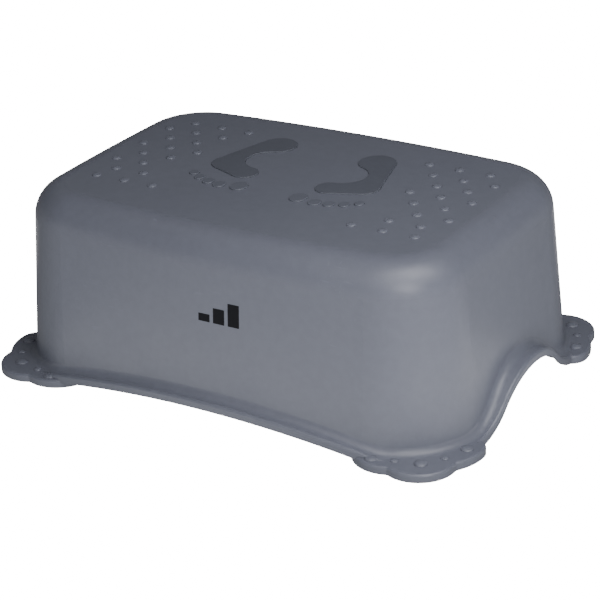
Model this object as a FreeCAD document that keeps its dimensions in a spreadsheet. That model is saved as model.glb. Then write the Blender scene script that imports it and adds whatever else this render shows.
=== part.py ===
import FreeCAD, Part
import math
import os

import Sketcher
from FreeCAD import Placement, Rotation, Vector

# One-piece moulded step stool with soft inlays.  Millimetres, +Z up, the front
# looks towards -Y, and the origin is on the floor under the middle of the tread.

# Driving dimensions: every other size is worked out from these.
DRIVING = {
    # body of the stool
    "overall_height": 140.0,
    "foot_proud": 1.0,
    "tread_half_x": 173.2,
    "tread_half_y": 117.3,
    "bow_long": 1568.0,
    "bow_short": 2038.0,
    "tread_corner": 52.1,
    "draft_angle": 4.57,
    "tread_edge_radius": 24.0,
    "wall": 2.4,
    "tread_thickness": 3.2,
    # rim that runs round the foot of the walls
    "rim_half_x": 194.4,
    "rim_half_y": 135.4,
    "rim_bow_short": 600.0,
    "rim_corner": 52.0,
    "rim_lip": 6.2,
    "rim_edge_radius": 2.0,
    "cove_radius": 5.6,
    "notch_radius": 3.5,
    "lobe_end_radius": 13.2,
    # arches: the high one under each short side, the low one under each long side
    "short_arch_rise": 33.8,
    "short_arch_half": 81.0,
    "short_arch_crown": 58.6,
    "long_arch_rise": 14.8,
    "long_arch_half": 148.0,
    "long_arch_crown": 712.0,
    # ribs under the tread
    "rib_thickness": 1.8,
    "rib_depth": 12.0,
    "rib_outer_part": 0.75,
    # soft inlays: footprints, toes, grip studs and corner feet
    "inlay_depth": 0.8,
    "inlay_proud": 0.9,
    "inlay_edge_radius": 0.6,
    "rivet_radius": 1.6,
    "rivet_head_radius": 2.6,
    "rivet_head_height": 1.2,
    "seat_gap": 0.05,
    "heel_x": 42.4,
    "heel_y": 51.8,
    "heel_radius": 14.3,
    "ball_outer_x": 56.8,
    "ball_outer_y": 5.0,
    "ball_outer_radius": 12.8,
    "ball_inner_x": 35.6,
    "ball_inner_y": -6.1,
    "ball_inner_radius": 10.3,
    "instep_radius": 17.7,
    "stud_radius": 3.6,
    "stud_height": 1.4,
    "stud_first_x": 78.1,
    "stud_first_y": 65.6,
    "stud_pitch_x": 24.55,
    "stud_pitch_y": 17.39,
    "stud_corner_part": 0.2,
    # heads of the corner feet's buttons, as parts of the button's radius
    "button_stem_part": 0.6,
    "button_rise_part": 0.42,
    # printed mark on the front wall
    "ink_thickness": 0.12,
    "mark_x": 13.9,
    "mark_z": 86.6,
    "mark_bar_width": 9.0,
    "mark_bar_gap": 3.0,
    "mark_step": 5.5,
    # how far a cutting tool runs past what it cuts
    "overrun": 5.0,
}

# Round lobes of one corner of the rim: middle and radius.
LOBES = {
    "lobe_long": (139.8, 107.4, 28.0),
    "lobe_corner": (162.0, 109.8, 26.4),
    "lobe_short": (155.3, 82.3, 41.35),
}

# Buttons of one corner foot that come up through the rim: middle and radius.
BUTTONS = {
    "button_a": (135.2, 127.8, 4.6),
    "button_b": (150.2, 123.3, 3.0),
    "button_c": (168.2, 119.2, 4.8),
    "button_d": (178.8, 105.0, 3.0),
    "button_e": (186.2, 87.3, 4.6),
}

# Toes of one footprint: middle, half width and half length.
TOES = {
    "toe_1": (25.0, -30.5, 6.1, 7.6),
    "toe_2": (39.9, -33.5, 4.5, 5.4),
    "toe_3": (50.5, -31.5, 4.1, 5.0),
    "toe_4": (60.6, -27.5, 3.8, 4.6),
    "toe_5": (69.3, -21.4, 3.5, 4.2),
}

# Rivets that hold each sole to the tread.
SOLE_RIVETS = {
    "rivet_heel": (40.5, 48.8),
    "rivet_arch": (54.9, 22.3),
    "rivet_ball": (56.8, -4.1),
    "rivet_inner": (36.6, -6.6),
}

STUD_ROWS = 8
STUDS_PER_ROW = 3
# Rows beside the foot begin one stud further out.
SHORT_STUD_ROWS = (2, 4, 5, 6)
RIB_ROWS = 3
MARK_BARS = 3
CORNERS = ((1, 1), (-1, 1), (-1, -1), (1, -1))

# Upward parts of a face's normal: a rising upper surface, level ground, a drafted wall.
RISING = 0.3
LEVEL = 0.9
DRAFTED = (0.02, 0.2)


class Size:
    """A number together with the sheet expression that it comes from."""

    def __init__(self, value, text):
        self.value = float(value)
        self.text = text

    def joined(self, sign, other, value):
        right = other.text if isinstance(other, Size) else repr(float(other))
        return Size(value, f"({self.text} {sign} {right})")

    def __add__(self, other):
        return self.joined("+", other, self.value + plain(other))

    def __sub__(self, other):
        return self.joined("-", other, self.value - plain(other))

    def __mul__(self, other):
        return self.joined("*", other, self.value * plain(other))

    def __truediv__(self, other):
        return self.joined("/", other, self.value / plain(other))

    def __neg__(self):
        return Size(-self.value, f"(0 - {self.text})")


def plain(number):
    return number.value if isinstance(number, Size) else float(number)


def tangent(angle):
    return Size(math.tan(math.radians(angle.value)), f"tan({angle.text})")


def bind(target, **sizes):
    for name, size in sizes.items():
        target.setExpression(name, size.text)


def place(target, x=None, y=None, z=None):
    """Put an object's own origin at x, y, z."""
    for letter, size in (("x", x), ("y", y), ("z", z)):
        if size is not None:
            target.setExpression(f"Placement.Base.{letter}", size.text)


def fill_sheet(sheet):
    """Write every driving dimension to its own named cell; return them as sizes."""
    cells = dict(DRIVING)
    for table, fields in ((LOBES, "x y radius"), (BUTTONS, "x y radius"),
                          (TOES, "x y half_width half_length"), (SOLE_RIVETS, "x y")):
        for name, numbers in table.items():
            for field, number in zip(fields.split(), numbers):
                cells[f"{name}_{field}"] = number
    sizes = {}
    for row, (alias, number) in enumerate(cells.items(), start=1):
        sheet.set(f"A{row}", alias)
        sheet.set(f"B{row}", str(number))
        sheet.setAlias(f"B{row}", alias)
        sizes[alias] = Size(number, f"dims.{alias}")
    return sizes


doc = FreeCAD.newDocument("step_stool")
sheet = doc.addObject("Spreadsheet::Sheet", "dims")
dim = fill_sheet(sheet)
doc.recompute()

# Sizes used by more than one piece.
rim_top = dim["foot_proud"] + dim["rim_lip"]
shelf_underside = rim_top - dim["wall"]
tread_underside = dim["overall_height"] - dim["tread_thickness"]
inlay_bed = dim["overall_height"] - dim["inlay_depth"]
inlay_height = dim["inlay_depth"] + dim["inlay_proud"]
nothing = dim["wall"] * 0
# The last lobe of a short side ends in a small round that touches it from within.
lobe_end_x = dim["lobe_short_x"] + dim["lobe_short_radius"] - dim["lobe_end_radius"]
# Half length and half width of a tool that runs past every side of the stool.
reach_x = dim["rim_half_x"] + dim["overrun"]
reach_y = dim["rim_half_y"] + dim["overrun"]
# Ribs run midway between rows and columns of rivets.
rib_pitch_y = dim["stud_pitch_y"] * 3
rib_middle_y = dim["stud_first_y"] - dim["stud_pitch_y"] * ((STUD_ROWS - 1) / 2)
rib_inner_x = (dim["toe_2_x"] + dim["toe_3_x"]) / 2
rib_outer_x = dim["stud_first_x"] + dim["stud_pitch_x"] * dim["rib_outer_part"]


# ---------------------------------------------------------------- sketch helpers

def origin_plane(body, role):
    return next(item for item in body.Origin.OriginFeatures if item.Role == role)


def new_sketch(body, name, role, offset=None):
    sketch = body.newObject("Sketcher::SketchObject", name)
    sketch.AttachmentSupport = [(origin_plane(body, role), "")]
    sketch.MapMode = "FlatFace"
    if offset is not None:
        sketch.AttachmentOffset = Placement(Vector(0, 0, offset.value), Rotation())
        sketch.setExpression("AttachmentOffset.Base.z", offset.text)
    return sketch


def relate(sketch, *rules):
    """Add constraints that carry no size."""
    sketch.addConstraint([Sketcher.Constraint(*rule) for rule in rules])


def drive(sketch, name, size, *rule):
    """Add one constraint whose value comes from the sheet."""
    index = sketch.addConstraint(Sketcher.Constraint(*rule, size.value))
    sketch.renameConstraint(index, name)
    sketch.setExpression(f"Constraints.{name}", size.text)


def circle_arc(middle, radius, start, end):
    """Arc from angle start to angle end, in radians, anticlockwise."""
    circle = Part.Circle(Vector(middle[0], middle[1], 0), Vector(0, 0, 1), radius)
    return Part.ArcOfCircle(circle, start, end)


def circle_meeting(first, reach_first, second, reach_second, side):
    """Point at the given distances from two points, on one side of their line."""
    dx, dy = second[0] - first[0], second[1] - first[1]
    span = math.hypot(dx, dy)
    along = (reach_first ** 2 - reach_second ** 2 + span ** 2) / (2 * span)
    across = side * math.sqrt(reach_first ** 2 - along ** 2)
    return (first[0] + (along * dx - across * dy) / span,
            first[1] + (along * dy + across * dx) / span)


ORIGIN = (-1, 1)
X_AXIS, Y_AXIS = -1, -2
START, END, MIDDLE = 1, 2, 3
ROUND = "Part::GeomCircle"


def bowed_rectangle(body, name, level, half_x, half_y, bow_x, bow_y, corner):
    """Rounded rectangle of eight tangent arcs, with sides that bow outwards."""
    sketch = new_sketch(body, name, "XY_Plane", level)
    side_x = (half_x.value - bow_x.value, 0.0)
    side_y = (0.0, half_y.value - bow_y.value)
    middle = circle_meeting(side_x, bow_x.value - corner.value,
                            side_y, bow_y.value - corner.value, 1)
    low = math.atan2(middle[1] - side_x[1], middle[0] - side_x[0])
    high = math.atan2(middle[1] - side_y[1], middle[0] - side_y[0])
    across, along = math.pi / 2 - high, math.pi / 2 - low
    for quarter, (sign_x, sign_y) in enumerate(CORNERS):
        if quarter % 2:
            side, radius = (0.0, sign_y * side_y[1]), bow_y.value
            first, last = across, along
        else:
            side, radius = (sign_x * side_x[0], 0.0), bow_x.value
            first, last = low, high
        start = quarter * math.pi / 2
        sketch.addGeometry(circle_arc(side, radius, start - first, start + first))
        sketch.addGeometry(circle_arc((sign_x * middle[0], sign_y * middle[1]), corner.value,
                                      start + first, start + last))
    relate(sketch, *[("Tangent", index, END, (index + 1) % 8, START) for index in range(8)])
    relate(sketch, ("PointOnObject", 0, MIDDLE, X_AXIS), ("PointOnObject", 4, MIDDLE, X_AXIS),
           ("PointOnObject", 2, MIDDLE, Y_AXIS), ("PointOnObject", 6, MIDDLE, Y_AXIS),
           ("Equal", 0, 4), ("Equal", 2, 6), ("Equal", 1, 3), ("Equal", 1, 5), ("Equal", 1, 7))
    drive(sketch, "bow_x", bow_x, "Radius", 0)
    drive(sketch, "bow_y", bow_y, "Radius", 2)
    drive(sketch, "corner", corner, "Radius", 1)
    drive(sketch, "right", bow_x - half_x, "DistanceX", 0, MIDDLE, *ORIGIN)
    drive(sketch, "left", bow_x - half_x, "DistanceX", *ORIGIN, 4, MIDDLE)
    drive(sketch, "back", bow_y - half_y, "DistanceY", 2, MIDDLE, *ORIGIN)
    drive(sketch, "front", bow_y - half_y, "DistanceY", *ORIGIN, 6, MIDDLE)
    return sketch


def edge_names(shape, wanted):
    """Names of the edges of a shape for which wanted(edge) is true."""
    return [f"Edge{index}" for index, edge in enumerate(shape.Edges, start=1) if wanted(edge)]


def is_upright(edge):
    """True for a straight edge parallel to Z."""
    box = edge.BoundBox
    return box.XLength < 1e-4 and box.YLength < 1e-4


def face_tilt(face, point):
    return face.normalAt(*face.Surface.parameter(point))


def is_corner(shape, edge, least=0.25):
    """True where the two faces beside an edge meet at an angle."""
    point = edge.valueAt((edge.FirstParameter + edge.LastParameter) / 2)
    sides = shape.ancestorsOfType(edge, Part.Face)
    if len(sides) != 2:
        return False
    return face_tilt(sides[0], point).getAngle(face_tilt(sides[1], point)) > least


def fillet_last(body, name, base, edges, radius):
    fillet = body.newObject("PartDesign::Fillet", name)
    fillet.Base = (base, edges)
    bind(fillet, Radius=radius)
    doc.recompute()
    return fillet


# ------------------------------------------------------------------ stool shell

def drafted_block(name, inset, top):
    """Tread and walls as a solid block, its sides drafted, its top edge rounded."""
    body = doc.addObject("PartDesign::Body", name)
    level = dim["foot_proud"] - inset
    grow = (dim["overall_height"] - level) * tangent(dim["draft_angle"]) - inset
    outline = bowed_rectangle(body, f"{name}_outline", level,
                              dim["tread_half_x"] + grow, dim["tread_half_y"] + grow,
                              dim["bow_short"] + grow, dim["bow_long"] + grow,
                              dim["tread_corner"] + grow)
    pad = body.newObject("PartDesign::Pad", f"{name}_pad")
    pad.Profile = outline
    bind(pad, Length=top - level)
    doc.recompute()
    sides = [f"Face{index}" for index, face in enumerate(pad.Shape.Faces, start=1)
             if face.BoundBox.ZLength > 1]
    floor = [f"Face{index}" for index, face in enumerate(pad.Shape.Faces, start=1)
             if face.BoundBox.ZMax < level.value + 1e-3]
    draft = body.newObject("PartDesign::Draft", f"{name}_draft")
    draft.Base = (pad, sides)
    draft.NeutralPlane = (pad, floor)
    bind(draft, Angle=dim["draft_angle"])
    doc.recompute()
    rim = edge_names(draft.Shape, lambda edge: edge.BoundBox.ZMin > top.value - 1e-3)
    fillet_last(body, f"{name}_rounding", draft, rim, dim["tread_edge_radius"] - inset)
    return body


def rim_prism(name, inset, level, top):
    """Plan of the rim without its lobes, as a prism."""
    body = doc.addObject("PartDesign::Body", name)
    prism = body.newObject("PartDesign::Pad", f"{name}_pad")
    prism.Profile = bowed_rectangle(body, f"{name}_outline", level,
                                    dim["rim_half_x"] - inset, dim["rim_half_y"] - inset,
                                    dim["rim_bow_short"] - inset, dim["bow_long"] - inset,
                                    dim["rim_corner"] - inset)
    bind(prism, Length=top - level)
    doc.recompute()
    return body


def corner_circles(body, name, level, x, y, radius):
    """Sketch of the same circle at all four corners."""
    sketch = new_sketch(body, name, "XY_Plane", level)
    for index, (sign_x, sign_y) in enumerate(CORNERS):
        centre = Vector(sign_x * x.value, sign_y * y.value, 0)
        sketch.addGeometry(Part.Circle(centre, Vector(0, 0, 1), radius.value))
        drive(sketch, f"radius_{index}", radius, "Radius", index)
        ends_x = (*ORIGIN, index, MIDDLE) if sign_x > 0 else (index, MIDDLE, *ORIGIN)
        ends_y = (*ORIGIN, index, MIDDLE) if sign_y > 0 else (index, MIDDLE, *ORIGIN)
        drive(sketch, f"x_{index}", x, "DistanceX", *ends_x)
        drive(sketch, f"y_{index}", y, "DistanceY", *ends_y)
    return sketch


def corner_plates(name, inset, level, top):
    """Flat plates under the four corners, each with its three round lobes."""
    prism = rim_prism(f"{name}_plan", inset, level, top)
    for lobe in LOBES:
        pad = prism.newObject("PartDesign::Pad", f"{name}_{lobe}_pad")
        pad.Profile = corner_circles(prism, f"{name}_{lobe}", level, dim[f"{lobe}_x"],
                                     dim[f"{lobe}_y"], dim[f"{lobe}_radius"] - inset)
        bind(pad, Length=top - level)
    doc.recompute()
    notches = edge_names(pad.Shape, lambda edge: is_upright(edge) and is_corner(pad.Shape, edge))
    fillet_last(prism, f"{name}_notches", pad, notches, dim["notch_radius"] + inset)
    middle = cross(f"{name}_middle", dim["lobe_long_x"], dim["lobe_short_y"])
    pieces = [cut(f"{name}_corners", prism, middle)]
    ends = (("long", dim["lobe_long_x"], dim["lobe_long_y"], dim["lobe_long_radius"]),
            ("short", lobe_end_x, dim["lobe_short_y"], dim["lobe_end_radius"]))
    for end, x, y, radius in ends:
        for index, (sign_x, sign_y) in enumerate(CORNERS):
            pieces.append(cylinder(f"{name}_{end}_end_{index}", x * sign_x, y * sign_y,
                                   level, radius - inset, top - level))
    plates = fuse(name, pieces)
    doc.recompute()
    return plates


def arch(name, role, base, rise_size, half, crown, length):
    """Tunnel under an arch: a crown arc that runs out into level ground on both sides."""
    body = doc.addObject("PartDesign::Body", name)
    sketch = new_sketch(body, f"{name}_profile", role)
    low, half_width, radius = base.value, half.value, crown.value
    swing = 2 * math.atan(rise_size.value / half_width)
    foot_radius = half_width / math.sin(swing) - radius
    crown_middle = (0.0, low + rise_size.value - radius)
    bottom = -dim["overrun"].value
    up = math.pi / 2
    sketch.addGeometry(circle_arc(crown_middle, radius, up - swing, up + swing))
    sketch.addGeometry(circle_arc((-half_width, low + foot_radius), foot_radius, -up, swing - up))
    sketch.addGeometry(circle_arc((half_width, low + foot_radius), foot_radius, -up - swing, -up))
    corners = [(-half_width, low), (-half_width, bottom), (half_width, bottom), (half_width, low)]
    for first, last in zip(corners, corners[1:]):
        sketch.addGeometry(Part.LineSegment(Vector(*first, 0), Vector(*last, 0)))
    relate(sketch, ("Tangent", 0, END, 1, END), ("Tangent", 0, START, 2, START),
           ("Coincident", 1, START, 3, START), ("Coincident", 3, END, 4, START),
           ("Coincident", 4, END, 5, START), ("Coincident", 5, END, 2, END),
           ("Vertical", 3), ("Horizontal", 4), ("Vertical", 5),
           ("PointOnObject", 0, MIDDLE, Y_AXIS),
           ("Vertical", 1, START, 1, MIDDLE), ("Vertical", 2, END, 2, MIDDLE))
    drive(sketch, "crown", crown, "Radius", 0)
    drive(sketch, "drop", crown - rise_size - base, "DistanceY", 0, MIDDLE, *ORIGIN)
    drive(sketch, "left", half, "DistanceX", 1, START, *ORIGIN)
    drive(sketch, "right", half, "DistanceX", *ORIGIN, 2, END)
    drive(sketch, "level_left", base, "DistanceY", *ORIGIN, 1, START)
    drive(sketch, "level_right", base, "DistanceY", *ORIGIN, 2, END)
    drive(sketch, "bottom", dim["overrun"], "DistanceY", 4, START, *ORIGIN)
    tunnel = body.newObject("PartDesign::Pad", f"{name}_pad")
    tunnel.Profile = sketch
    tunnel.Midplane = True
    bind(tunnel, Length=length)
    doc.recompute()
    return body


def arches(name, base):
    """Tunnels under the short sides and under the long sides, right through the stool."""
    short = arch(f"{name}_short", "YZ_Plane", base, dim["short_arch_rise"],
                 dim["short_arch_half"], dim["short_arch_crown"], reach_x * 2)
    long = arch(f"{name}_long", "XZ_Plane", base, dim["long_arch_rise"],
                dim["long_arch_half"], dim["long_arch_crown"], reach_y * 2)
    return [short, long]


def box(name, x, y, z, length, width, height):
    """Box with its lowest corner at x, y, z."""
    solid = doc.addObject("Part::Box", name)
    bind(solid, Length=length, Width=width, Height=height)
    place(solid, x, y, z)
    return solid


def fuse(name, pieces):
    union = doc.addObject("Part::MultiFuse", name)
    union.Shapes = pieces
    union.Refine = True
    return union


def common(name, base, tool):
    overlap = doc.addObject("Part::MultiCommon", name)
    overlap.Shapes = [base, tool]
    return overlap


def cut(name, base, tool):
    remainder = doc.addObject("Part::Cut", name)
    remainder.Base = base
    remainder.Tool = tool
    remainder.Refine = True
    return remainder


def middle_box(name, half_x, half_y, low, top):
    """Box with its middle on the Z axis."""
    return box(name, -half_x, -half_y, low, half_x * 2, half_y * 2, top - low)


def cross(name, half_x, half_y):
    """Everything nearer than half_x or half_y to the middle planes, but for the tread."""
    low, top = -dim["overrun"], dim["overall_height"] / 2
    return fuse(name, [middle_box(f"{name}_x", half_x, reach_y, low, top),
                       middle_box(f"{name}_y", reach_x, half_y, low, top)])


def under_surface(name, level):
    """Everything below the rim's rolling surface: level ground plus both arches."""
    ground = middle_box(f"{name}_ground", reach_x, reach_y, -dim["overrun"], level)
    return fuse(name, [ground, *arches(name, level)])


def based_body(name, source):
    body = doc.addObject("PartDesign::Body", name)
    body.BaseFeature = source
    doc.recompute()
    return body


def sides_at(shape, edge):
    """Upward parts of the two face normals beside an edge, smaller first."""
    point = edge.valueAt((edge.FirstParameter + edge.LastParameter) / 2)
    faces = shape.ancestorsOfType(edge, Part.Face)
    return sorted(face_tilt(face, point).z for face in faces), point


def is_rim_edge(shape, edge):
    """True for an edge between an upright side and the rim's upper surface."""
    tilts, _ = sides_at(shape, edge)
    return len(tilts) == 2 and abs(tilts[0]) < 1e-3 and tilts[1] > RISING


def is_plate_edge(shape, edge):
    """True for a round upper edge of a corner plate that shows outside the walls."""
    tilts, _ = sides_at(shape, edge)
    if len(tilts) != 2 or abs(tilts[0]) > 1e-3 or tilts[1] < LEVEL or edge.Curve.TypeId != ROUND:
        return False
    return any(not block.Shape.isInside(point, 0.1, True) for point in edge.discretize(9))


def is_wall_foot(shape, edge):
    """True where a drafted wall comes down on the rim's upper surface."""
    tilts, point = sides_at(shape, edge)
    low_enough = point.z < dim["overall_height"].value / 2
    return (len(tilts) == 2 and low_enough and DRAFTED[0] < tilts[0] < DRAFTED[1]
            and tilts[1] > RISING)


def make_outer_form():
    """Block, rim and corner plates in one, with their edges and the walls' foot rounded."""
    ring = common("rim_ring", rim_prism("rim_plan", nothing, dim["foot_proud"],
                                        dim["overall_height"] / 2),
                  under_surface("rim_surface", rim_top))
    rim = based_body("rim", ring)
    rim_edges = edge_names(rim.Shape, lambda edge: is_rim_edge(rim.Shape, edge))
    fillet_last(rim, "rim_edge", rim.Group[0], rim_edges, dim["rim_edge_radius"])
    arched = fuse("block_and_rim", [block, rim])
    for tunnel in arches("tunnel", dim["foot_proud"]):
        arched = cut(f"{tunnel.Name}_cut", arched, tunnel)
    flat = corner_plates("plates", nothing, dim["foot_proud"], rim_top)
    plates = based_body("corner_plates", flat)
    plate_edges = edge_names(plates.Shape, lambda edge: is_plate_edge(plates.Shape, edge))
    fillet_last(plates, "plate_edge", plates.Group[0], plate_edges, dim["rim_edge_radius"])
    form = based_body("outer_form", fuse("block_rim_and_plates", [arched, plates]))
    wall_feet = edge_names(form.Shape, lambda edge: is_wall_foot(form.Shape, edge))
    fillet_last(form, "wall_foot_cove", form.Group[0], wall_feet, dim["cove_radius"])
    return form


def make_hollow():
    """Everything that is hollow: below the tread, under the rim and under the plates."""
    plates = corner_plates("plate_hollow", dim["wall"], -dim["overrun"], shelf_underside)
    channel = common("rim_channel", rim_prism("channel_plan", dim["wall"], -dim["overrun"],
                                              dim["overall_height"] / 2),
                     under_surface("channel_surface", shelf_underside))
    between = cross("channel_middle", dim["lobe_long_x"] - dim["lobe_long_radius"],
                    dim["lobe_short_y"] - dim["lobe_end_radius"])
    return [cavity, plates, common("rim_hollow", channel, between)]


def make_ribs():
    """Crossed ribs that stiffen the tread from below."""
    low = tread_underside - dim["rib_depth"]
    height = dim["rib_depth"] + dim["tread_thickness"] / 2
    thick = dim["rib_thickness"]
    half = thick / 2
    boxes = []
    for index, x in enumerate((-rib_outer_x, -rib_inner_x, nothing, rib_inner_x, rib_outer_x)):
        boxes.append(box(f"rib_cross_{index}", x - half, -reach_y, low,
                         thick, reach_y * 2, height))
    for index in range(RIB_ROWS):
        y = rib_middle_y + rib_pitch_y * (index - 1)
        boxes.append(box(f"rib_long_{index}", -reach_x, y - half, low,
                         reach_x * 2, thick, height))
    return common("ribs", fuse("rib_grid", boxes), block)


def mirrored(name, source, across):
    """Mirror image of an object in the plane through the origin square to across."""
    image = doc.addObject("Part::Mirroring", name)
    image.Source = source
    image.Normal = across
    return image


def cylinder(name, x, y, low, radius, height):
    solid = doc.addObject("Part::Cylinder", name)
    bind(solid, Radius=radius, Height=height)
    place(solid, x, y, low)
    return solid


def dome(name, x, y, low, radius, height):
    """Upper half of a flattened ball."""
    solid = doc.addObject("Part::Ellipsoid", name)
    bind(solid, Radius1=height, Radius2=radius, Radius3=radius)
    solid.Angle1 = 0
    place(solid, x, y, low)
    return solid


# ------------------------------------------------- inlays of the right half (+X)

def outer_tangent(first, radius_first, second, radius_second):
    """Direction, from either centre, of the touching points of a line on the right."""
    dx, dy = second[0] - first[0], second[1] - first[1]
    lean = math.acos((radius_first - radius_second) / math.hypot(dx, dy))
    return math.atan2(dy, dx) - lean


def on_circle(middle, radius, angle):
    return Vector(middle[0] + radius * math.cos(angle), middle[1] + radius * math.sin(angle), 0)


def sole_sketch(body, name, level, grow):
    """Footprint without its toes: heel and two balls, joined by lines and an instep arc."""
    sketch = new_sketch(body, name, "XY_Plane", level)
    names = ("heel", "ball_outer", "ball_inner")
    places = {key: (dim[f"{key}_x"], dim[f"{key}_y"]) for key in names}
    radii = {key: dim[f"{key}_radius"] + grow for key in names}
    heel, outer, inner = (tuple(map(plain, places[key])) for key in names)
    heel_r, outer_r, inner_r = (radii[key].value for key in names)
    instep_radius = dim["instep_radius"] - grow
    instep_r = instep_radius.value
    instep = circle_meeting(inner, inner_r + instep_r, heel, heel_r + instep_r, 1)
    side = outer_tangent(outer, outer_r, heel, heel_r)
    front = outer_tangent(inner, inner_r, outer, outer_r)
    to_heel = math.atan2(heel[1] - instep[1], heel[0] - instep[0])
    to_inner = math.atan2(inner[1] - instep[1], inner[0] - instep[0])
    full = 2 * math.pi
    sketch.addGeometry([
        Part.LineSegment(on_circle(outer, outer_r, side), on_circle(heel, heel_r, side)),
        circle_arc(heel, heel_r, side, to_heel + math.pi),
        circle_arc(instep, instep_r, to_inner, to_heel),
        circle_arc(inner, inner_r, to_inner + math.pi, front + full),
        Part.LineSegment(on_circle(inner, inner_r, front), on_circle(outer, outer_r, front)),
        circle_arc(outer, outer_r, front, side),
    ])
    relate(sketch, ("Tangent", 0, END, 1, START), ("Tangent", 1, END, 2, END),
           ("Tangent", 2, START, 3, START), ("Tangent", 3, END, 4, START),
           ("Tangent", 4, END, 5, START), ("Tangent", 5, END, 0, START))
    drive(sketch, "instep", instep_radius, "Radius", 2)
    for key, index in zip(names, (1, 5, 3)):
        drive(sketch, f"{key}_r", radii[key], "Radius", index)
        drive(sketch, f"{key}_x", places[key][0], "DistanceX", *ORIGIN, index, MIDDLE)
        drive(sketch, f"{key}_y", places[key][1], "DistanceY", *ORIGIN, index, MIDDLE)
    return sketch


def toe_sketch(toe):
    def draw(body, name, level, grow):
        """Oblong with round ends, longer along Y."""
        sketch = new_sketch(body, name, "XY_Plane", level)
        x, y = dim[f"{toe}_x"], dim[f"{toe}_y"]
        radius = dim[f"{toe}_half_width"] + grow
        reach = dim[f"{toe}_half_length"] - dim[f"{toe}_half_width"]
        back, front = y + reach, y - reach
        left, right = x.value - radius.value, x.value + radius.value
        sketch.addGeometry([
            circle_arc((x.value, back.value), radius.value, 0, math.pi),
            Part.LineSegment(Vector(left, back.value, 0), Vector(left, front.value, 0)),
            circle_arc((x.value, front.value), radius.value, math.pi, 2 * math.pi),
            Part.LineSegment(Vector(right, front.value, 0), Vector(right, back.value, 0)),
        ])
        relate(sketch, ("Tangent", 0, END, 1, START), ("Tangent", 1, END, 2, START),
               ("Tangent", 2, END, 3, START), ("Tangent", 3, END, 0, START),
               ("Vertical", 1), ("Equal", 0, 2))
        drive(sketch, "radius", radius, "Radius", 0)
        drive(sketch, "x", x, "DistanceX", *ORIGIN, 0, MIDDLE)
        drive(sketch, "back", back, "DistanceY", *ORIGIN, 0, MIDDLE)
        drive(sketch, "front", front, "DistanceY", *ORIGIN, 2, MIDDLE)
        return sketch
    return draw


def inlay_plate(name, draw, level, height, grow, rounding=None):
    """Flat plate on the plan that draw makes, with its top edge rounded if asked."""
    body = doc.addObject("PartDesign::Body", name)
    pad = body.newObject("PartDesign::Pad", f"{name}_pad")
    pad.Profile = draw(body, f"{name}_plan", level, grow)
    bind(pad, Length=height)
    body.Tip = pad
    doc.recompute()
    if rounding is not None:
        top = (level + height).value
        edges = edge_names(pad.Shape, lambda edge: edge.BoundBox.ZMin > top - 1e-3)
        fillet_last(body, f"{name}_rounding", pad, edges, rounding)
    return body


def rivet(name, x, y, top):
    """Stem through the tread with a head against its underside."""
    head_low = tread_underside - dim["rivet_head_height"]
    stem = cylinder(f"{name}_stem", x, y, head_low, dim["rivet_radius"], top - head_low)
    head = cylinder(f"{name}_head", x, y, head_low,
                    dim["rivet_head_radius"], dim["rivet_head_height"])
    return [stem, head]


def rivet_hole(name, x, y):
    return cylinder(name, x, y, tread_underside - dim["overrun"],
                    dim["rivet_radius"] + dim["seat_gap"],
                    dim["tread_thickness"] + dim["overrun"] * 2)


def footprint():
    """Sole and toes of one footprint, and the tool that cuts their seats."""
    plans = {"sole": (sole_sketch, [(dim[f"{key}_x"], dim[f"{key}_y"]) for key in SOLE_RIVETS])}
    for toe in TOES:
        plans[toe] = (toe_sketch(toe), [(dim[f"{toe}_x"], dim[f"{toe}_y"])])
    pieces, seats = {}, []
    for key, (draw, rivets) in plans.items():
        name = f"right_{key}"
        plate = inlay_plate(f"{name}_plate", draw, inlay_bed, inlay_height, nothing,
                            dim["inlay_edge_radius"])
        solids = [plate]
        for index, (x, y) in enumerate(rivets):
            solids += rivet(f"{name}_rivet_{index}", x, y, inlay_bed + dim["inlay_proud"] / 2)
            seats.append(rivet_hole(f"{name}_hole_{index}", x, y))
        seats.append(inlay_plate(f"{name}_seat", draw, inlay_bed,
                                 dim["inlay_depth"] + dim["overrun"], dim["seat_gap"]))
        pieces[name] = fuse(name, solids)
    return pieces, seats


def stud_places():
    """Middles of the grip studs: staggered rows, the front row drawn in at the corner."""
    places = []
    for row in range(STUD_ROWS):
        y = dim["stud_first_y"] - dim["stud_pitch_y"] * row
        first = dim["stud_first_x"]
        if row == STUD_ROWS - 1:
            first = first + dim["stud_pitch_x"] * dim["stud_corner_part"]
        elif row % 2:
            first = first + dim["stud_pitch_x"] / 2
        start = 1 if row in SHORT_STUD_ROWS else 0
        for column in range(start, STUDS_PER_ROW):
            places.append((first + dim["stud_pitch_x"] * column, y))
    return places


def grip_studs():
    """Group of round studs beside one footprint, and their holes."""
    studs, holes = [], []
    for index, (x, y) in enumerate(stud_places()):
        name = f"stud_{index}"
        cap = dome(f"{name}_cap", x, y, dim["overall_height"],
                   dim["stud_radius"], dim["stud_height"])
        solids = [cap, *rivet(name, x, y, dim["overall_height"] + dim["stud_height"] / 2)]
        studs.append(fuse(name, solids))
        holes.append(rivet_hole(f"{name}_hole", x, y))
    group = doc.addObject("Part::Compound", "right_grip_studs")
    group.Links = studs
    return group, holes


# ------------------------------------------------------------------ corner feet

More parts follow.
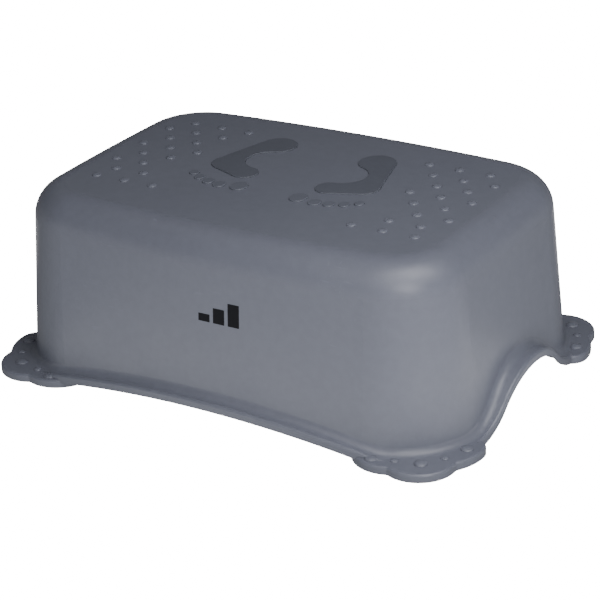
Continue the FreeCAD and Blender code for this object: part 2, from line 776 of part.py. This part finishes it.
def foot_buttons(name, grow):
    """Stems and domed heads that lock one foot to the rim."""
    solids = []
    low = shelf_underside - dim["wall"] / 2
    for button in BUTTONS:
        x, y = dim[f"{button}_x"], dim[f"{button}_y"]
        radius = dim[f"{button}_radius"]
        rise = radius * dim["button_rise_part"]
        solids.append(cylinder(f"{name}_{button}_stem", x, y, low,
                               radius * dim["button_stem_part"] + grow, rim_top + rise / 2 - low))
        solids.append(dome(f"{name}_{button}_head", x, y, rim_top - grow,
                           radius + grow, rise + grow * 2))
    return solids


def corner_foot():
    """Soft pad under the back right corner plate, and the tool that seats its buttons."""
    gap = dim["seat_gap"]
    pads = corner_plates("pads", dim["wall"] + gap * 2, nothing, shelf_underside - gap)
    crescents = cut("pad_crescents", pads, cavity)
    quarter = box("pad_quarter", nothing, nothing, -dim["overrun"],
                  reach_x, reach_y, dim["overall_height"])
    pad = common("foot_pad", crescents, quarter)
    piece = fuse("foot_back_right", [pad, *foot_buttons("foot", nothing)])
    seat = fuse("foot_seat", foot_buttons("seat", gap))
    return piece, seat


# ----------------------------------------------------------------- printed mark

def make_mark():
    """Three rising bars printed on the front wall."""
    ink_block = drafted_block("ink_block", -dim["ink_thickness"], dim["overall_height"])
    pitch = dim["mark_bar_width"] + dim["mark_bar_gap"]
    left = dim["mark_x"] - (pitch * MARK_BARS - dim["mark_bar_gap"]) / 2
    low = dim["mark_z"] - dim["mark_step"] * (MARK_BARS / 2)
    bars = []
    for index in range(MARK_BARS):
        bars.append(box(f"mark_bar_{index}", left + pitch * index, -reach_y, low,
                        dim["mark_bar_width"], reach_y / 2, dim["mark_step"] * (index + 1)))
    return cut("front_mark", common("mark_prints", fuse("mark_bars", bars), ink_block), block)


# --------------------------------------------------------------------- assembly

block = drafted_block("outer_block", nothing, dim["overall_height"])
cavity = drafted_block("cavity_block", dim["wall"], tread_underside)
form = make_outer_form()

right_pieces, right_seats = footprint()
right_studs, stud_holes = grip_studs()
back_right_foot, foot_seat = corner_foot()

inlay_seats = fuse("right_inlay_seats", right_seats + stud_holes)
front_right_foot = mirrored("foot_front_right", back_right_foot, Vector(0, 1, 0))
front_seat = mirrored("front_foot_seat", foot_seat, Vector(0, 1, 0))
right_seats_all = fuse("right_seats", [inlay_seats, foot_seat, front_seat])
left_seats_all = mirrored("left_seats", right_seats_all, Vector(1, 0, 0))

shell = form
for index, hollow in enumerate(make_hollow()):
    shell = cut(f"hollow_form_{index}", shell, hollow)
shell = fuse("ribbed_form", [shell, make_ribs()])
shell = cut("right_seated_form", shell, right_seats_all)
shell = cut("stool_shell", shell, left_seats_all)

nodes = {"stool_shell": shell, "front_mark": make_mark()}
nodes["foot_back_right"] = back_right_foot
nodes["foot_front_right"] = front_right_foot
for end in ("back", "front"):
    name = f"foot_{end}_left"
    nodes[name] = mirrored(name, nodes[f"foot_{end}_right"], Vector(1, 0, 0))
for name, piece in {**right_pieces, "right_grip_studs": right_studs}.items():
    nodes[name] = piece
    left_name = name.replace("right", "left")
    nodes[left_name] = mirrored(left_name, piece, Vector(1, 0, 0))

doc.recompute()


# ----------------------------------------------------------------------- output

def check(nodes):
    """Stop if anything in the document failed or a piece is not a sound solid."""
    for item in doc.Objects:
        if "Invalid" in item.State or "Error" in item.State:
            raise RuntimeError(f"{item.Label} failed: {item.State}")
    for name, piece in nodes.items():
        shape = piece.Shape
        if shape.isNull() or not shape.isValid() or not shape.Solids:
            raise RuntimeError(f"{name} is not a valid solid")


for name, piece in nodes.items():
    piece.Label = name
check(nodes)
os.makedirs("parts", exist_ok=True)
for name, piece in nodes.items():
    piece.Shape.exportStep(f"parts/{name}.step")
    print(name, len(piece.Shape.Solids), round(piece.Shape.Volume, 1))
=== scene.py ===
import math

import bpy
from mathutils import Matrix, Vector


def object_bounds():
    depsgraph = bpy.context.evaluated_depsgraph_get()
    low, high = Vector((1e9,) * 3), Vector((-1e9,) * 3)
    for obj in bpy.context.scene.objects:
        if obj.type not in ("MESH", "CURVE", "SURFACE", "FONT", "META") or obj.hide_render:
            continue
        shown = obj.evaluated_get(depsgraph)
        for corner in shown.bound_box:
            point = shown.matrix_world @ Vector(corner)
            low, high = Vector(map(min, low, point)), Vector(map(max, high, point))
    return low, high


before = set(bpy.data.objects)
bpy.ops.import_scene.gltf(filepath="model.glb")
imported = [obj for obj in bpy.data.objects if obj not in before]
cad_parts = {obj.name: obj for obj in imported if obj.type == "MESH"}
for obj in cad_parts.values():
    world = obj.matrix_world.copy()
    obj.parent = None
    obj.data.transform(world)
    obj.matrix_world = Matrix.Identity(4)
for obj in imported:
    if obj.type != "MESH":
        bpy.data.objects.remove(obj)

cad_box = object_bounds()


# ------------------------------------------------------------------ camera

CAMERA_PLACE = Vector((0.76158, -1.19055, 0.69671))
CAMERA_AZIMUTH = math.radians(32.504)
CAMERA_ELEVATION = math.radians(24.828)
CAMERA_ROLL = math.radians(-2.604)
CAMERA_LENS = 126.28
SENSOR_WIDTH = 36.0
CLIP_RANGE = (0.05, 50.0)


def make_camera():
    """Long lens, looking down at the front right corner."""
    az, el, roll = CAMERA_AZIMUTH, CAMERA_ELEVATION, CAMERA_ROLL
    back = Vector((math.sin(az) * math.cos(el), -math.cos(az) * math.cos(el), math.sin(el)))
    right = Vector((math.cos(az), math.sin(az), 0.0))
    up = back.cross(right)
    turned_right = right * math.cos(roll) + up * math.sin(roll)
    turned_up = up * math.cos(roll) - right * math.sin(roll)
    data = bpy.data.cameras.new("camera")
    data.lens = CAMERA_LENS
    data.sensor_width = SENSOR_WIDTH
    data.clip_start, data.clip_end = CLIP_RANGE
    camera = bpy.data.objects.new("camera", data)
    axes = Matrix((turned_right, turned_up, back)).transposed().to_4x4()
    camera.matrix_world = Matrix.Translation(CAMERA_PLACE) @ axes
    bpy.context.scene.collection.objects.link(camera)
    bpy.context.scene.camera = camera


# ------------------------------------------------------------------ stage and light

FLOOR_HALF = 12.0
FLOOR_COLOR = (0.86, 0.86, 0.86, 1)
FLOOR_ROUGHNESS = 0.8
FLOOR_GLOW = 18.0
WHITE = (1.0, 1.0, 1.0, 1)
GROUND_TINT = (0.96, 0.975, 1.0)
GROUND_LIGHT = (0.12, 1.09)           # strength away from the bright side, and toward it
BRIGHT_SIDE = math.radians(33)
STUDIO_LIGHT = (0.104, 0.107, 0.114)
LIGHT_TINT = (0.98, 0.985, 1.0)
HORIZON = 0.12                        # height over which the ground's light fades out


def make_floor(level):
    """White ground that only the camera sees; the world below the horizon is its bounce."""
    half = FLOOR_HALF
    mesh = bpy.data.meshes.new("floor")
    mesh.from_pydata([(-half, -half, level), (half, -half, level),
                      (half, half, level), (-half, half, level)], [], [(0, 1, 2, 3)])
    floor = bpy.data.objects.new("floor", mesh)
    bpy.context.scene.collection.objects.link(floor)
    material = bpy.data.materials.new("floor")
    material.use_nodes = True
    shader = material.node_tree.nodes["Principled BSDF"]
    shader.inputs["Base Color"].default_value = FLOOR_COLOR
    shader.inputs["Roughness"].default_value = FLOOR_ROUGHNESS
    shader.inputs["Emission Color"].default_value = WHITE
    shader.inputs["Emission Strength"].default_value = FLOOR_GLOW
    mesh.materials.append(material)
    floor.visible_diffuse = False
    floor.visible_glossy = False
    floor.visible_shadow = False


def area_light(name, place, aim, width, height, power):
    """Soft rectangular light that the camera doesn't see."""
    data = bpy.data.lights.new(name, "AREA")
    data.shape = "RECTANGLE"
    data.size, data.size_y = width, height
    data.energy = power
    data.color = LIGHT_TINT
    light = bpy.data.objects.new(name, data)
    light.location = place
    light.rotation_euler = (Vector(aim) - Vector(place)).to_track_quat("-Z", "Y").to_euler()
    light.visible_camera = False
    bpy.context.scene.collection.objects.link(light)


def make_world():
    """Bright ground below the horizon, brightest toward the front right; dim studio above it."""
    world = bpy.data.worlds.new("studio")
    world.use_nodes = True
    nodes, links = world.node_tree.nodes, world.node_tree.links

    def map_range(source, values):
        node = nodes.new("ShaderNodeMapRange")
        for name, value in zip(("From Min", "From Max", "To Min", "To Max"), values):
            node.inputs[name].default_value = value
        links.new(source, node.inputs["Value"])
        return node.outputs["Result"]

    place = nodes.new("ShaderNodeTexCoord")
    toward = nodes.new("ShaderNodeVectorMath")
    toward.operation = "DOT_PRODUCT"
    toward.inputs[1].default_value = (math.sin(BRIGHT_SIDE), -math.cos(BRIGHT_SIDE), 0.0)
    links.new(place.outputs["Generated"], toward.inputs[0])
    ground = nodes.new("ShaderNodeVectorMath")
    ground.operation = "SCALE"
    ground.inputs[0].default_value = GROUND_TINT
    links.new(map_range(toward.outputs["Value"], (-1.0, 1.0, *GROUND_LIGHT)),
              ground.inputs["Scale"])

    split = nodes.new("ShaderNodeSeparateXYZ")
    links.new(place.outputs["Generated"], split.inputs["Vector"])
    blend = nodes.new("ShaderNodeMix")
    blend.data_type = "VECTOR"
    links.new(map_range(split.outputs["Z"], (0.0, HORIZON, 0.0, 1.0)), blend.inputs["Factor"])
    vectors = [socket for socket in blend.inputs if socket.type == "VECTOR"]
    first, second = [socket for socket in vectors if socket.name in ("A", "B")]
    links.new(ground.outputs["Vector"], first)
    second.default_value = STUDIO_LIGHT
    result = [socket for socket in blend.outputs if socket.type == "VECTOR"][0]
    links.new(result, nodes["Background"].inputs["Color"])
    bpy.context.scene.world = world


TOP_CORNER = (0.155, -0.104, 0.095)
FLOOR_LEVEL = 0.0005                  # of the lights that lie on the floor, facing up

# Area lights: place, what each points at, width, height and power.
LIGHTS = {
    "key_front": ((0.20, -0.65, 0.60), TOP_CORNER, 0.80, 0.80, 1.8),
    "key_right": ((0.75, -0.10, 0.60), TOP_CORNER, 0.45, 0.45, 0.9),
    "low_corner": ((0.52, -0.47, 0.30), (0.19, -0.13, 0.0), 0.30, 0.30, 1.5),
    "over_right": ((0.55, -0.15, 0.95), (0.10, -0.05, 0.0), 0.60, 0.60, 4.3),
    "over_corner": ((0.34, -0.34, 0.60), (0.20, -0.14, 0.0), 0.45, 0.45, 1.3),
    "overhead": ((-0.05, -0.15, 1.10), (-0.05, -0.15, 0.0), 1.30, 0.60, 0.6),
    "floor_front": ((0.04, -0.24, FLOOR_LEVEL), (0.04, -0.24, 1.0), 0.52, 0.16, 0.24),
    "floor_back": ((-0.06, 0.32, FLOOR_LEVEL), (-0.06, 0.32, 1.0), 0.44, 0.20, 0.4),
    "floor_left": ((-0.36, 0.12, FLOOR_LEVEL), (-0.36, 0.12, 1.0), 0.20, 0.24, 0.12),
    "floor_right": ((0.31, -0.06, FLOOR_LEVEL), (0.31, -0.06, 1.0), 0.16, 0.30, 0.22),
}


def make_light():
    make_world()
    for name, settings in LIGHTS.items():
        area_light(name, *settings)


# ------------------------------------------------------------------ materials

class Nodes:
    """Builds one material's node tree."""

    def __init__(self, name):
        self.material = bpy.data.materials.new(name)
        self.material.use_nodes = True
        self.tree = self.material.node_tree
        self.shader = self.tree.nodes["Principled BSDF"]
        self.place = self.add("ShaderNodeTexCoord").outputs["Object"]

    def add(self, kind, **settings):
        node = self.tree.nodes.new(kind)
        for name, value in settings.items():
            setattr(node, name, value)
        return node

    def link(self, source, target):
        self.tree.links.new(source, target)

    def noise(self, scale, detail=3.0, roughness=0.55, place=None):
        node = self.add("ShaderNodeTexNoise")
        node.inputs["Scale"].default_value = scale
        node.inputs["Detail"].default_value = detail
        node.inputs["Roughness"].default_value = roughness
        self.link(place or self.place, node.inputs["Vector"])
        return node.outputs["Fac"]

    def ramp(self, source, bottom, top, at=(0.35, 0.65)):
        node = self.add("ShaderNodeMapRange")
        node.inputs["From Min"].default_value = at[0]
        node.inputs["From Max"].default_value = at[1]
        node.inputs["To Min"].default_value = bottom
        node.inputs["To Max"].default_value = top
        self.link(source, node.inputs["Value"])
        return node.outputs["Result"]

    def stretched(self, turn, scale):
        node = self.add("ShaderNodeMapping")
        node.inputs["Rotation"].default_value = (0.0, 0.0, turn)
        node.inputs["Scale"].default_value = scale
        self.link(self.place, node.inputs["Vector"])
        return node.outputs["Vector"]

    def calculate(self, operation, first, second):
        node = self.add("ShaderNodeMath", operation=operation)
        for value, socket in zip((first, second), node.inputs):
            if isinstance(value, float):
                socket.default_value = value
            else:
                self.link(value, socket)
        return node.outputs["Value"]

    def times(self, first, second):
        return self.calculate("MULTIPLY", first, second)

    def plus(self, first, second):
        return self.calculate("ADD", first, second)

    def larger(self, first, second):
        return self.calculate("MAXIMUM", first, second)

    def mix(self, factor, first, second):
        node = self.add("ShaderNodeMix", data_type="RGBA")
        self.link(factor, node.inputs["Factor"])
        for value, name in ((first, "A"), (second, "B")):
            socket = [item for item in node.inputs if item.name == name and item.type == "RGBA"][0]
            if isinstance(value, tuple):
                socket.default_value = (*value, 1)
            else:
                self.link(value, socket)
        return [item for item in node.outputs if item.type == "RGBA"][0]

    def bump(self, height, distance, strength=1.0, under=None):
        node = self.add("ShaderNodeBump")
        node.inputs["Strength"].default_value = strength
        node.inputs["Distance"].default_value = distance
        self.link(height, node.inputs["Height"])
        if under is not None:
            self.link(under, node.inputs["Normal"])
        return node.outputs["Normal"]


# Pattern sizes are in cycles per metre, heights in metres.
CLOUD_SCALE, MOTTLE_SCALE, PATCH_SCALE, SHEEN_SCALE = 8.0, 160.0, 16.0, 45.0
PEBBLE_SCALE, RIPPLE_SCALE = 1500.0, 14.0
PEBBLE_HEIGHT, RIPPLE_HEIGHT, SCUFF_DEPTH = 0.00004, 0.0004, -0.00004
PALE, DEEP = 1.18, 0.96               # how far the colour swings
SCUFF_WAYS = ((0.5, (60.0, 900.0, 300.0)), (-0.9, (800.0, 70.0, 300.0)))


def moulded_plastic(name, color, roughness, grain, wear, shine):
    """Coloured plastic: soft clouds, fine mould grain, thin scuffs gathered in worn patches."""
    nodes = Nodes(name)
    pale = tuple(channel * PALE for channel in color)
    deep = tuple(channel * DEEP for channel in color)
    clouds = nodes.ramp(nodes.noise(CLOUD_SCALE, 4.0), 0.0, 1.0)
    mottle = nodes.ramp(nodes.noise(MOTTLE_SCALE, 5.0), 0.0, 0.25)
    tone = nodes.mix(mottle, nodes.mix(clouds, deep, color), pale)

    patches = nodes.ramp(nodes.noise(PATCH_SCALE, 2.0), 0.0, wear, at=(0.50, 0.66))
    scuffs = None
    for turn, scale in SCUFF_WAYS:
        streaks = nodes.noise(1.0, 2.0, place=nodes.stretched(turn, scale))
        lines = nodes.times(nodes.ramp(streaks, 0.0, 1.0, at=(0.64, 0.72)), patches)
        scuffs = lines if scuffs is None else nodes.larger(scuffs, lines)
    nodes.link(nodes.mix(scuffs, tone, pale), nodes.shader.inputs["Base Color"])

    rough = nodes.ramp(nodes.noise(SHEEN_SCALE, 5.0), roughness - 0.03, roughness + 0.04)
    nodes.link(nodes.plus(rough, nodes.times(scuffs, 0.25)), nodes.shader.inputs["Roughness"])
    nodes.shader.inputs["Specular IOR Level"].default_value = shine

    pebbles = nodes.noise(PEBBLE_SCALE, 2.0)
    ripple = nodes.bump(nodes.noise(RIPPLE_SCALE, 1.0), RIPPLE_HEIGHT, 0.06)
    grained = nodes.bump(pebbles, PEBBLE_HEIGHT, grain, under=ripple)
    nodes.link(nodes.bump(scuffs, SCUFF_DEPTH, 0.6, under=grained),
               nodes.shader.inputs["Normal"])
    return nodes.material


BODY_COLOR = (0.120, 0.126, 0.156)
INLAY_COLOR = (0.076, 0.081, 0.101)
TOE_COLOR = (0.098, 0.104, 0.129)
INK_COLOR = (0.008, 0.008, 0.010)

# Colour, roughness, grain, wear and shine of each material.
MATERIALS = {
    "body_plastic": (BODY_COLOR, 0.34, 0.5, 0.5, 0.5),
    "soft_inlay": (INLAY_COLOR, 0.6, 0.8, 0.4, 0.5),
    "soft_stud": (BODY_COLOR, 0.36, 0.4, 0.3, 0.5),
    "soft_foot": (BODY_COLOR, 0.45, 0.6, 0.7, 0.5),
    "soft_toe": (TOE_COLOR, 0.45, 0.6, 0.3, 0.5),
    "print": (INK_COLOR, 0.5, 0.3, 0.2, 0.08),
}

# Which material a node takes: the first line whose text is in the node's name.
WORN_BY = (
    ("stool_shell", "body_plastic"),
    ("front_mark", "print"),
    ("grip_studs", "soft_stud"),
    ("_toe_", "soft_toe"),
    ("foot", "soft_foot"),
    ("sole", "soft_inlay"),
)


def paint_nodes():
    materials = {name: moulded_plastic(name, *looks) for name, looks in MATERIALS.items()}
    for name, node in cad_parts.items():
        material = next(material for text, material in WORN_BY if text in name)
        for slot in node.material_slots:
            slot.material = materials[material]


make_camera()
make_floor(cad_box[0][2])
make_light()
paint_nodes()
